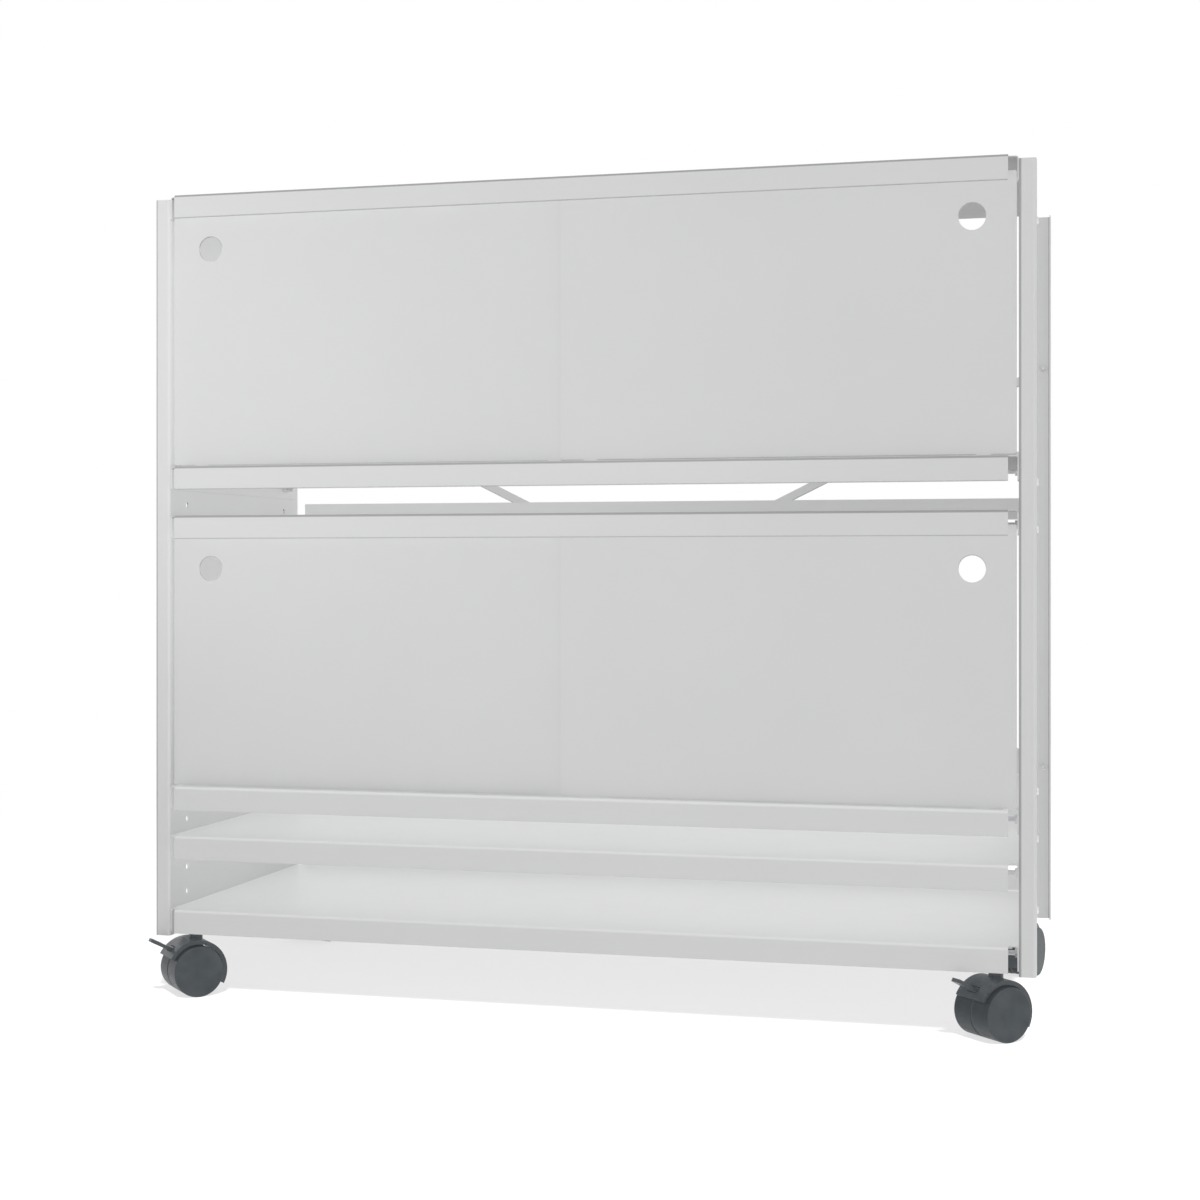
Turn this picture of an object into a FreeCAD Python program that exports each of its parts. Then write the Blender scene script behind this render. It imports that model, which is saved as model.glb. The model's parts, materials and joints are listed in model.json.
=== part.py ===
import FreeCAD, Part
import math
import os
import Sketcher

# Rolling sheet-steel lowboard: two perforated channel sides, six folded shelves, four sliding doors,
# a crossed back brace and four swivelling twin-wheel casters.
# Millimetres, +Z up. The origin is on the floor, midway between the sides and midway in depth.
# The front faces -Y.

doc = FreeCAD.newDocument("lowboard")
sheet = doc.addObject("Spreadsheet::Sheet", "sizes")

driving = {
    # carcass
    "clearWidth": 1019.0,
    "panelDepth": 400.0,
    "flangeWidth": 19.0,
    "returnWidth": 15.0,
    "sheetThickness": 1.5,
    "bendRadius": 2.0,
    # rows of side-panel holes, and how many rows each space between shelves takes
    "holePitch": 30.0,
    "holeDiameter": 6.4,
    "firstHoleDrop": 12.0,
    "frontHoleSetback": 48.0,
    "rearHoleSetback": 52.0,
    "upperBayRows": 11,
    "dividerRows": 2,
    "lowerBayRows": 11,
    "trayRows": 2,
    "baseRows": 3,
    # folded shelf
    "shelfProud": 10.0,
    "shelfRise": 3.5,
    "lipHeight": 28.5,
    "endFlangeHeight": 28.0,
    "upstandHeight": 26.0,
    "lipInset": 11.0,
    "notchDepth": 13.0,
    "shelfRearGap": 0.5,
    "fixingSlotLength": 28.0,
    # shelf bolts and nuts
    "boltDiameter": 6.0,
    "boltLength": 16.0,
    "boltHeadDiameter": 10.5,
    "boltHeadHeight": 4.6,
    "nutAcrossCorners": 11.5,
    "nutHeight": 5.0,
    # crossed back brace
    "braceWidth": 11.0,
    "braceThickness": 2.0,
    "braceEndDistance": 195.0,
    "braceBoltDiameter": 5.0,
    "braceHoleDiameter": 5.3,
    "braceBoltHeadDiameter": 8.5,
    "braceBoltHeadHeight": 2.8,
    "braceBoltSpare": 3.0,
    "braceNutAcrossCorners": 9.2,
    "braceNutHeight": 4.0,
    # sliding doors
    "doorThickness": 1.5,
    "doorSetback": 3.0,
    "doorOverlap": 28.0,
    "doorSideGap": 2.2,
    "doorTopDrop": 16.0,
    "doorBottomGap": 1.0,
    "doorCornerRadius": 2.0,
    "fingerHoleDiameter": 30.0,
    "fingerHoleInset": 48.5,
    "fingerHoleDrop": 65.0,
    # door track let into the shelf, door guide under the shelf above, plastic glides
    "grooveWidth": 4.0,
    "grooveDepth": 7.0,
    "trackWall": 1.2,
    "trackFloor": 1.5,
    "trackRim": 1.5,
    "trackRimThickness": 0.8,
    "trackSlotPlay": 0.15,
    "trackEndInset": 6.0,
    "guideHeight": 22.0,
    "guideRoof": 1.5,
    "glideThickness": 3.3,
    "glideLength": 24.0,
    "glideInset": 24.0,
    "glideTabWidth": 16.0,
    "glideHeight": 8.0,
    "glideCap": 1.2,
    "glideFloorGap": 0.3,
    # casters
    "frontCasterTurn": 223.2,
    "rearCasterTurn": 76.0,
    "casterSideInset": 25.8,
    "frontCasterInset": 28.8,
    "rearCasterInset": 9.6,
    "casterLead": 5.0,
    "casterWidth": 59.4,
    "wheelDiameter": 61.2,
    "wheelGap": 2.6,
    "wheelEdgeRadius": 1.5,
    "wheelInnerEdgeRadius": 0.4,
    "wheelCapThickness": 4.0,
    "hoodWidth": 45.6,
    "hoodClearance": 1.9,
    "hoodThickness": 5.0,
    "hoodHeadroom": 3.9,
    "hoodFrontAngle": 28.0,
    "hoodRearAngle": 208.0,
    "webThickness": 2.2,
    "webSetback": 0.8,
    "webRibWidth": 16.0,
    "neckDiameter": 16.4,
    "neckRise": 7.0,
    "stemDiameter": 11.0,
    "stemSeatRoof": 0.6,
    "stemTopGap": 2.0,
    "axleDiameter": 8.0,
    "axleEndGap": 0.4,
    "runningClearance": 0.05,
    "thrustGap": 0.3,
    "socketDiameter": 16.0,
    "socketPlateLength": 36.0,
    "socketPlateWidth": 17.0,
    "socketPlateThickness": 3.0,
    # caster brake
    "pedalWidth": 16.0,
    "pedalThickness": 4.0,
    "pedalLength": 30.9,
    "pedalTilt": 27.4,
    "pedalPivotAngle": 45.0,
    "pedalBarrelDiameter": 7.6,
    "pedalWindowDiameter": 9.6,
    "pedalPlay": 0.4,
    "pedalPinDiameter": 3.0,
    "pedalPinInset": 1.0,
}
for row, (alias, value) in enumerate(driving.items(), start=1):
    sheet.set(f"A{row}", alias)
    sheet.set(f"B{row}", str(value))
    sheet.setAlias(f"B{row}", alias)
doc.recompute()


def size(name):
    return f"sizes.{name}"


def number(expression):
    return float(sheet.evalExpression(str(expression)))


# Expressions that several pieces share, from the cells above.
halfWidth = "(sizes.clearWidth / 2)"
halfDepth = "(sizes.panelDepth / 2)"
wall = size("sheetThickness")
innerBend = size("bendRadius")
outerBend = "(sizes.bendRadius + sizes.sheetThickness)"
# A cut this deep from the middle of one sheet passes through that sheet only.
throughSheet = f"(4 * {wall})"
baseRow = "(sizes.upperBayRows + sizes.dividerRows + sizes.lowerBayRows + sizes.trayRows + sizes.baseRows)"
wheelRadius = "(sizes.wheelDiameter / 2)"
hoodInside = f"({wheelRadius} + sizes.hoodClearance)"
hoodOutside = f"({hoodInside} + sizes.hoodThickness)"
floorGap = f"({wheelRadius} + {hoodOutside} + sizes.hoodHeadroom)"
neckTop = f"({floorGap} + sizes.neckRise)"
panelHeight = f"(({baseRow} + 1) * sizes.holePitch)"
panelTop = f"({floorGap} + {panelHeight})"
frontHoles = f"(-{halfDepth} + sizes.frontHoleSetback)"
rearHoles = f"({halfDepth} - sizes.rearHoleSetback)"
shelfFront = f"(-{halfDepth} - sizes.shelfProud)"
shelfRear = f"({halfDepth} - sizes.shelfRearGap)"
lipLength = "(sizes.clearWidth - 2 * sizes.lipInset)"
trackLength = f"({lipLength} - 2 * sizes.trackEndInset)"
groovePitch = "(sizes.grooveWidth + sizes.trackWall)"
frontDoorMiddle = f"(-{halfDepth} + sizes.doorSetback + sizes.doorThickness / 2)"
rearDoorMiddle = f"({frontDoorMiddle} + {groovePitch})"
trackFront = f"({frontDoorMiddle} - sizes.grooveWidth / 2 - sizes.trackWall)"
trackRear = f"({rearDoorMiddle} + sizes.grooveWidth / 2 + sizes.trackWall)"


def shelfTop(rows):
    return f"({panelTop} + sizes.shelfRise - {rows} * sizes.holePitch)"


def fixingHeight(rows):
    return f"({panelTop} - sizes.firstHoleDrop - {rows} * sizes.holePitch)"


shelfRows = {
    "top_shelf": "0",
    "upper_bay_floor": "sizes.upperBayRows",
    "lower_bay_roof": "(sizes.upperBayRows + sizes.dividerRows)",
    "lower_bay_floor": "(sizes.upperBayRows + sizes.dividerRows + sizes.lowerBayRows)",
    "tray_shelf": "(sizes.upperBayRows + sizes.dividerRows + sizes.lowerBayRows + sizes.trayRows)",
    "base_shelf": baseRow,
}
bays = {
    "upper": ("top_shelf", "upper_bay_floor"),
    "lower": ("lower_bay_roof", "lower_bay_floor"),
}
nodes = []


def newBody(label):
    body = doc.addObject("PartDesign::Body", label)
    body.Label = label
    return body


def keep(piece, label):
    piece.Label = label
    nodes.append(piece)
    return piece


def originFeature(body, role):
    return next(feature for feature in body.Origin.OriginFeatures if feature.Role == role)


def sketchOn(body, plane, offset=None):
    sketch = body.newObject("Sketcher::SketchObject", f"{body.Name}_sketch")
    sketch.AttachmentSupport = [(originFeature(body, plane), "")]
    sketch.MapMode = "FlatFace"
    if offset is not None:
        sketch.setExpression("AttachmentOffset.Base.z", offset)
    return sketch


def pinPoint(sketch, geometry, point, x, y):
    # Ties one end or centre to the sketch's origin in both directions.
    for kind, axis, expression in (("DistanceX", -2, x), ("DistanceY", -1, y)):
        if abs(number(expression)) < 1e-9:
            sketch.addConstraint(Sketcher.Constraint("PointOnObject", geometry, point, axis))
            continue
        index = sketch.addConstraint(Sketcher.Constraint(kind, -1, 1, geometry, point, number(expression)))
        sketch.setExpression(f"Constraints[{index}]", expression)


def circle(sketch, x, y, radius):
    centre = FreeCAD.Vector(number(x), number(y), 0)
    index = sketch.addGeometry(Part.Circle(centre, FreeCAD.Vector(0, 0, 1), number(radius)))
    pinPoint(sketch, index, 3, x, y)
    ring = sketch.addConstraint(Sketcher.Constraint("Radius", index, number(radius)))
    sketch.setExpression(f"Constraints[{ring}]", radius)


def outline(sketch, corners):
    # Closed loop through the corners, each (x, y) or (x, y, radius). A rounded corner joins two runs
    # that lie along the sketch's axes.
    count = len(corners)
    spots = [FreeCAD.Vector(number(corner[0]), number(corner[1]), 0) for corner in corners]
    arrive, leave = [], []
    for index, corner in enumerate(corners):
        if len(corner) == 2:
            arrive.append(corner)
            leave.append(corner)
            continue
        x, y, radius = corner
        back = (spots[index - 1] - spots[index]).normalize()
        ahead = (spots[(index + 1) % count] - spots[index]).normalize()
        arrive.append((f"{x} + {radius} * {round(back.x)}", f"{y} + {radius} * {round(back.y)}"))
        leave.append((f"{x} + {radius} * {round(ahead.x)}", f"{y} + {radius} * {round(ahead.y)}"))
    lines = []
    for index in range(count):
        start, end = leave[index], arrive[(index + 1) % count]
        first = FreeCAD.Vector(number(start[0]), number(start[1]), 0)
        last = FreeCAD.Vector(number(end[0]), number(end[1]), 0)
        line = sketch.addGeometry(Part.LineSegment(first, last))
        pinPoint(sketch, line, 1, *start)
        if len(corners[(index + 1) % count]) == 3:
            pinPoint(sketch, line, 2, *end)
        lines.append(line)
    for index, corner in enumerate(corners):
        before, after = lines[index - 1], lines[index]
        if len(corner) == 2:
            sketch.addConstraint(Sketcher.Constraint("Coincident", before, 2, after, 1))
            continue
        radius = number(corner[2])
        start = FreeCAD.Vector(number(arrive[index][0]), number(arrive[index][1]), 0)
        end = FreeCAD.Vector(number(leave[index][0]), number(leave[index][1]), 0)
        centre = start + end - spots[index]
        turnsLeft = (spots[index] - start).cross(end - spots[index]).z > 0
        first, last = (start, end) if turnsLeft else (end, start)
        angles = [math.atan2(spot.y - centre.y, spot.x - centre.x) for spot in (first, last)]
        if angles[1] < angles[0]:
            angles[1] += 2 * math.pi
        ring = Part.Circle(centre, FreeCAD.Vector(0, 0, 1), radius)
        arc = sketch.addGeometry(Part.ArcOfCircle(ring, *angles))
        sketch.addConstraint(Sketcher.Constraint("Coincident", before, 2, arc, 1 if turnsLeft else 2))
        sketch.addConstraint(Sketcher.Constraint("Coincident", after, 1, arc, 2 if turnsLeft else 1))
        bend = sketch.addConstraint(Sketcher.Constraint("Radius", arc, radius))
        sketch.setExpression(f"Constraints[{bend}]", corner[2])


def rectangle(sketch, left, right, low, high):
    outline(sketch, [(left, low), (right, low), (right, high), (left, high)])


def pad(body, sketch, length, side="Symmetric", reverse=False):
    feature = body.newObject("PartDesign::Pad", f"{body.Name}_pad")
    feature.Profile = sketch
    feature.SideType = side
    feature.Reversed = reverse
    feature.setExpression("Length", length)
    return feature


def pocket(body, sketch, length=None, side="Symmetric", reverse=False):
    feature = body.newObject("PartDesign::Pocket", f"{body.Name}_pocket")
    feature.Profile = sketch
    feature.SideType = side
    feature.Reversed = reverse
    if length is None:
        feature.Type = "ThroughAll"
    else:
        feature.setExpression("Length", length)
    return feature


def place(piece, x, y, z, turn=None):
    piece.setExpression("Placement.Base.x", x)
    piece.setExpression("Placement.Base.y", y)
    piece.setExpression("Placement.Base.z", z)
    if turn is not None:
        piece.Placement = FreeCAD.Placement(FreeCAD.Vector(), FreeCAD.Rotation(FreeCAD.Vector(0, 0, 1), 1))
        piece.setExpression("Placement.Rotation.Angle", turn)


def group(label, shapes):
    # Identical fasteners in one node, as separate solids.
    piece = doc.addObject("Part::Feature", label)
    piece.Shape = Part.makeCompound(shapes)
    return keep(piece, label)


def sidePanel(label, side):
    # Folded channel: web on the inside, flanges turned outwards at front and back, each with a return.
    body = newBody(label)
    web = f"{side} * {halfWidth}"
    webOutside = f"{side} * ({halfWidth} + {wall})"
    edge = f"{side} * ({halfWidth} + sizes.flangeWidth)"
    edgeInside = f"{side} * ({halfWidth} + sizes.flangeWidth - {wall})"
    sketch = sketchOn(body, "XY_Plane", floorGap)
    outline(sketch, [
        (edge, f"-{halfDepth} + sizes.returnWidth"),
        (edge, f"-{halfDepth}", outerBend),
        (web, f"-{halfDepth}", outerBend),
        (web, halfDepth, outerBend),
        (edge, halfDepth, outerBend),
        (edge, f"{halfDepth} - sizes.returnWidth"),
        (edgeInside, f"{halfDepth} - sizes.returnWidth"),
        (edgeInside, f"{halfDepth} - {wall}", innerBend),
        (webOutside, f"{halfDepth} - {wall}", innerBend),
        (webOutside, f"-{halfDepth} + {wall}", innerBend),
        (edgeInside, f"-{halfDepth} + {wall}", innerBend),
        (edgeInside, f"-{halfDepth} + sizes.returnWidth"),
    ])
    pad(body, sketch, panelHeight, "One side")
    braceHoles = sketchOn(body, "XZ_Plane", f"-{halfDepth}")
    for height in (braceLow, braceHigh):
        circle(braceHoles, f"{side} * {braceReach}", height, "sizes.braceHoleDiameter / 2")
    pocket(body, braceHoles, throughSheet)
    holes = sketchOn(body, "YZ_Plane", f"{side} * ({halfWidth} + {wall} / 2)")
    for column in (frontHoles, rearHoles):
        circle(holes, column, fixingHeight("0"), "sizes.holeDiameter / 2")
    firstRow = pocket(body, holes, throughSheet)
    doc.recompute()
    rows = body.newObject("PartDesign::LinearPattern", f"{label}_rows")
    rows.Originals = [firstRow]
    rows.Direction = (originFeature(body, "Z_Axis"), [""])
    rows.Reversed = True
    rows.setExpression("Length", f"{baseRow} * sizes.holePitch")
    rows.setExpression("Occurrences", f"{baseRow} + 1")
    body.Tip = rows
    return keep(body, label)


def shelf(label, rows):
    # One folded sheet: lip down at the front, upstand at the back, flanges down at both ends,
    # with an open notch at each corner.
    body = newBody(label)
    top = shelfTop(rows)
    across = sketchOn(body, "YZ_Plane")
    outline(across, [
        (shelfFront, f"{top} - sizes.lipHeight"),
        (shelfFront, top, outerBend),
        (f"{shelfRear} - {wall}", top, innerBend),
        (f"{shelfRear} - {wall}", f"{top} + sizes.upstandHeight"),
        (shelfRear, f"{top} + sizes.upstandHeight"),
        (shelfRear, f"{top} - {wall}", outerBend),
        (f"{shelfFront} + {wall}", f"{top} - {wall}", innerBend),
        (f"{shelfFront} + {wall}", f"{top} - sizes.lipHeight"),
    ])
    pad(body, across, lipLength)
    along = sketchOn(body, "XZ_Plane", f"-({shelfFront} + {shelfRear}) / 2")
    outline(along, [
        (f"-{halfWidth}", f"{top} - sizes.endFlangeHeight"),
        (f"-{halfWidth}", top, outerBend),
        (halfWidth, top, outerBend),
        (halfWidth, f"{top} - sizes.endFlangeHeight"),
        (f"{halfWidth} - {wall}", f"{top} - sizes.endFlangeHeight"),
        (f"{halfWidth} - {wall}", f"{top} - {wall}", innerBend),
        (f"-{halfWidth} + {wall}", f"{top} - {wall}", innerBend),
        (f"-{halfWidth} + {wall}", f"{top} - sizes.endFlangeHeight"),
    ])
    pad(body, along, f"{shelfRear} - ({shelfFront}) - 2 * sizes.notchDepth")
    fixings = sketchOn(body, "YZ_Plane")
    height = fixingHeight(rows)
    circle(fixings, frontHoles, height, "sizes.holeDiameter / 2")
    rectangle(fixings,
              f"{rearHoles} - sizes.fixingSlotLength / 2", f"{rearHoles} + sizes.fixingSlotLength / 2",
              f"{height} - sizes.holeDiameter / 2", f"{height} + sizes.holeDiameter / 2")
    pocket(body, fixings)
    if label in [floor for roof, floor in bays.values()]:
        slot = sketchOn(body, "XY_Plane", f"{top} - {wall} / 2")
        reach = f"({trackLength} / 2 + sizes.trackSlotPlay)"
        rectangle(slot, f"-{reach}", reach,
                  f"{trackFront} - sizes.trackSlotPlay", f"{trackRear} + sizes.trackSlotPlay")
        pocket(body, slot, throughSheet)
    return keep(body, label)


def doorTrack(label, rows):
    # Two-groove plastic track let into a slot in the shelf, its rim lying on the sheet.
    body = newBody(label)
    top = shelfTop(rows)
    rim = f"{top} + sizes.trackRimThickness"
    floor = f"{top} - sizes.grooveDepth"
    under = f"{floor} - sizes.trackFloor"
    sketch = sketchOn(body, "YZ_Plane")
    rimFront = f"{trackFront} - sizes.trackRim"
    rimRear = f"{trackRear} + sizes.trackRim"
    corners = [(trackFront, top), (rimFront, top), (rimFront, rim)]
    for middle in (frontDoorMiddle, rearDoorMiddle):
        near = f"{middle} - sizes.grooveWidth / 2"
        far = f"{middle} + sizes.grooveWidth / 2"
        corners += [(near, rim), (near, floor), (far, floor), (far, rim)]
    corners += [(rimRear, rim), (rimRear, top), (trackRear, top), (trackRear, under), (trackFront, under)]
    outline(sketch, corners)
    pad(body, sketch, trackLength)
    return keep(body, label)


def doorGuide(label, rows):
    # Deep two-groove plastic guide under the shelf above, behind its lip.
    # Its depth leaves room to lift a door out.
    body = newBody(label)
    top = f"{shelfTop(rows)} - {wall}"
    low = f"{top} - sizes.guideHeight"
    roof = f"{top} - sizes.guideRoof"
    sketch = sketchOn(body, "YZ_Plane")
    corners = [(trackRear, low), (trackRear, top), (trackFront, top), (trackFront, low)]
    for middle in (frontDoorMiddle, rearDoorMiddle):
        near = f"{middle} - sizes.grooveWidth / 2"
        far = f"{middle} + sizes.grooveWidth / 2"
        corners += [(near, low), (near, roof), (far, roof), (far, low)]
    outline(sketch, corners)
    pad(body, sketch, trackLength)
    return keep(body, label)


def doorSpan(side):
    # The front doors are the right-hand ones. Each door reaches half the overlap past the middle.
    outer = f"{side} * ({halfWidth} - sizes.doorSideGap)"
    inner = f"{side} * (-sizes.doorOverlap / 2)"
    return (outer, inner)


def door(label, side, middle, roofRows, floorRows):
    # Flat sheet with a finger hole in its upper outer corner and two short tabs along the foot.
    body = newBody(label)
    outer, inner = doorSpan(side)
    head = f"({shelfTop(roofRows)} - sizes.doorTopDrop)"
    foot = f"({shelfTop(floorRows)} + sizes.doorBottomGap)"
    sketch = sketchOn(body, "XZ_Plane", f"-{middle}")
    corner = size("doorCornerRadius")
    outline(sketch, [
        (outer, foot, corner),
        (inner, foot, corner),
        (inner, head, corner),
        (outer, head, corner),
    ])
    pad(body, sketch, size("doorThickness"))
    tabs = sketchOn(body, "XZ_Plane", f"-{middle}")
    toe = f"({shelfTop(floorRows)} - sizes.grooveDepth + sizes.glideFloorGap + sizes.glideCap)"
    for start in glideStarts(side):
        left = f"{start} + (sizes.glideLength - sizes.glideTabWidth) / 2"
        rectangle(tabs, left, f"{left} + sizes.glideTabWidth", toe, f"{foot} + sizes.doorCornerRadius")
    pad(body, tabs, size("doorThickness"))
    hole = sketchOn(body, "XZ_Plane", f"-{middle}")
    circle(hole, f"{outer} - {side} * sizes.fingerHoleInset", f"{shelfTop(roofRows)} - sizes.fingerHoleDrop",
           "sizes.fingerHoleDiameter / 2")
    pocket(body, hole)
    return keep(body, label)


def glideStarts(side):
    # Left ends of the two glides along a door.
    outer, inner = doorSpan(side)
    low, high = (outer, inner) if side < 0 else (inner, outer)
    return (f"({low} + sizes.glideInset)", f"({high} - sizes.glideInset - sizes.glideLength)")


def doorGlides(label, side, middle, roofRows, floorRows):
    # Four plastic clips: two shoes on the foot tabs, running in the track,
    # and two caps on the head, running in the guide.
    head = number(f"{shelfTop(roofRows)} - sizes.doorTopDrop")
    foot = number(f"{shelfTop(floorRows)} + sizes.doorBottomGap")
    floor = number(f"{shelfTop(floorRows)} - sizes.grooveDepth + sizes.glideFloorGap")
    length = number(size("glideLength"))
    thick = number(size("glideThickness"))
    tab = number(size("glideTabWidth"))
    sheetThick = number(size("doorThickness"))
    cap = number(size("glideCap"))
    grip = number("sizes.glideHeight - sizes.glideCap")
    across = number(middle)
    shapes = []
    for start in glideStarts(side):
        left = number(start)
        shoe = Part.makeBox(length, thick, foot - floor, FreeCAD.Vector(left, across - thick / 2, floor))
        slit = Part.makeBox(tab, sheetThick, foot - floor,
                            FreeCAD.Vector(left + (length - tab) / 2, across - sheetThick / 2, floor + cap))
        shapes.append(shoe.cut(slit))
        low = head - grip
        clip = Part.makeBox(length, thick, grip + cap, FreeCAD.Vector(left, across - thick / 2, low))
        slit = Part.makeBox(length, sheetThick, grip, FreeCAD.Vector(left, across - sheetThick / 2, low))
        shapes.append(clip.cut(slit))
    return group(label, shapes)


def boltShape(head, headHeight, shank, length):
    # Button-head bolt along +X, with its head before X = 0 and its shank after it.
    along = FreeCAD.Vector(1, 0, 0)
    cap = Part.makeCylinder(head / 2, headHeight, FreeCAD.Vector(-headHeight, 0, 0), along)
    rim = [edge for edge in cap.Edges if abs(edge.BoundBox.XMax + headHeight) < 1e-6]
    cap = cap.makeFillet(headHeight / 2, rim[:1])
    return cap.fuse(Part.makeCylinder(shank / 2, length, FreeCAD.Vector(), along)).removeSplitter()


def nutShape(acrossCorners, height, bore):
    # Hexagon nut along +X from X = 0.
    ring = [FreeCAD.Vector(0, acrossCorners / 2 * math.cos(turn), acrossCorners / 2 * math.sin(turn))
            for turn in (math.pi / 3 * step for step in range(7))]
    blank = Part.Face(Part.makePolygon(ring)).extrude(FreeCAD.Vector(height, 0, 0))
    return blank.cut(Part.makeCylinder(bore / 2, height, FreeCAD.Vector(), FreeCAD.Vector(1, 0, 0)))


def moved(shape, spot, turn):
    # A copy turned about the upright and set at the spot.
    copy = shape.copy()
    copy.Placement = FreeCAD.Placement(spot, FreeCAD.Rotation(FreeCAD.Vector(0, 0, 1), turn))
    return copy


def shelfFixings(label, side):
    # Bolts from outside the web, nuts inside the shelf's end flange, two of each per shelf and side.
    bolt = boltShape(number(size("boltHeadDiameter")), number(size("boltHeadHeight")),
                     number(size("boltDiameter")), number(size("boltLength")))
    nut = nutShape(number(size("nutAcrossCorners")), number(size("nutHeight")), number(size("boltDiameter")))
    webOutside = side * number(f"{halfWidth} + {wall}")
    flangeInside = side * number(f"{halfWidth} - {wall}")
    turn = 180.0 if side > 0 else 0.0
    spots = [(number(column), number(fixingHeight(rows)))
             for rows in shelfRows.values() for column in (frontHoles, rearHoles)]
    group(f"{label}_shelf_bolts", [moved(bolt, FreeCAD.Vector(webOutside, y, z), turn) for y, z in spots])
    group(f"{label}_shelf_nuts", [moved(nut, FreeCAD.Vector(flangeInside, y, z), turn) for y, z in spots])


braceReach = f"({halfWidth} + sizes.flangeWidth / 2)"
braceLow = f"({floorGap} + sizes.braceEndDistance)"
braceHigh = f"({panelTop} - sizes.braceEndDistance)"


def brace(label, rise, layer):
    # Flat bar with round ends, drawn level and turned about its middle.
    body = newBody(label)
    run = f"(2 * {braceReach})"
    climb = f"({braceHigh} - {braceLow})"
    reach = f"(sqrt({run} * {run} + {climb} * {climb}) / 2)"
    sketch = sketchOn(body, "XZ_Plane")
    half = "(sizes.braceWidth / 2)"
    rectangle(sketch, f"-{reach}", reach, f"-{half}", half)
    pad(body, sketch, size("braceThickness"))
    ends = sketchOn(body, "XZ_Plane")
    for side in ("-", ""):
        circle(ends, f"{side}{reach}", "0", half)
    pad(body, ends, size("braceThickness"))
    holes = sketchOn(body, "XZ_Plane")
    for side in ("-", ""):
        circle(holes, f"{side}{reach}", "0", "sizes.braceHoleDiameter / 2")
    pocket(body, holes)
    body.Placement = FreeCAD.Placement(FreeCAD.Vector(), FreeCAD.Rotation(FreeCAD.Vector(0, -rise, 0), 1))
    body.setExpression("Placement.Rotation.Angle", f"atan({climb} / {run})")
    body.setExpression("Placement.Base.y", f"{halfDepth} + ({layer} + 0.5) * sizes.braceThickness")
    body.setExpression("Placement.Base.z", f"({braceHigh} + {braceLow}) / 2")
    return keep(body, label)


def braceFixings():
    # One bolt and nut per bar end. The outer bar stands on a spacer as thick as the inner bar.
    rear = number(halfDepth)
    layer = number(size("braceThickness"))
    grip = number(f"{wall} + sizes.braceNutHeight + sizes.braceBoltSpare")
    head = number(size("braceBoltHeadDiameter"))
    headHeight = number(size("braceBoltHeadHeight"))
    shank = number(size("braceBoltDiameter"))
    nut = nutShape(number(size("braceNutAcrossCorners")), number(size("braceNutHeight")), shank)
    along = FreeCAD.Vector(0, 1, 0)
    bolts, nuts, spacers = [], [], []
    for side in (-1, 1):
        for height, high in ((braceLow, False), (braceHigh, True)):
            x, z = side * number(braceReach), number(height)
            outer = high == (side < 0)
            stack = 2 * layer if outer else layer
            bolt = boltShape(head, headHeight, shank, stack + grip)
            bolts.append(moved(bolt, FreeCAD.Vector(x, rear + stack, z), -90.0))
            nuts.append(moved(nut, FreeCAD.Vector(x, rear - number(wall), z), -90.0))
            if outer:
                start = FreeCAD.Vector(x, rear, z)
                blank = Part.makeCylinder(number("sizes.braceWidth / 2"), layer, start, along)
                bore = Part.makeCylinder(number("sizes.braceHoleDiameter / 2"), layer, start, along)
                spacers.append(blank.cut(bore))
    group("brace_bolts", bolts)
    group("brace_nuts", nuts)
    group("brace_spacers", spacers)


def casterSocket(label, stemX, stemY):
    # Mounting plate and boss under the base shelf, bored for the swivel stem.
    body = newBody(label)
    under = f"({shelfTop(baseRow)} - {wall})"
    plate = sketchOn(body, "XY_Plane", under)
    halfLength, halfWide = "(sizes.socketPlateLength / 2)", "(sizes.socketPlateWidth / 2)"
    rectangle(plate, f"-{halfLength}", halfLength, f"-{halfWide}", halfWide)
    pad(body, plate, size("socketPlateThickness"), "One side", True)
    boss = sketchOn(body, "XY_Plane", under)
    circle(boss, "0", "0", "sizes.socketDiameter / 2")
    pad(body, boss, f"{under} - {neckTop} - sizes.thrustGap", "One side", True)
    bore = sketchOn(body, "XY_Plane", under)
    circle(bore, "0", "0", "sizes.stemDiameter / 2 + sizes.runningClearance")
    pocket(body, bore)
    place(body, stemX, stemY, "0")
    return keep(body, label)


hoodMiddle = f"(({hoodInside} + {hoodOutside}) / 2)"
pivotX = f"(sizes.casterLead + {hoodMiddle} * cos(sizes.pedalPivotAngle))"
pivotZ = f"({wheelRadius} + {hoodMiddle} * sin(sizes.pedalPivotAngle))"
pedalSpace = "(sizes.pedalWidth + 2 * sizes.pedalPlay)"


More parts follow.
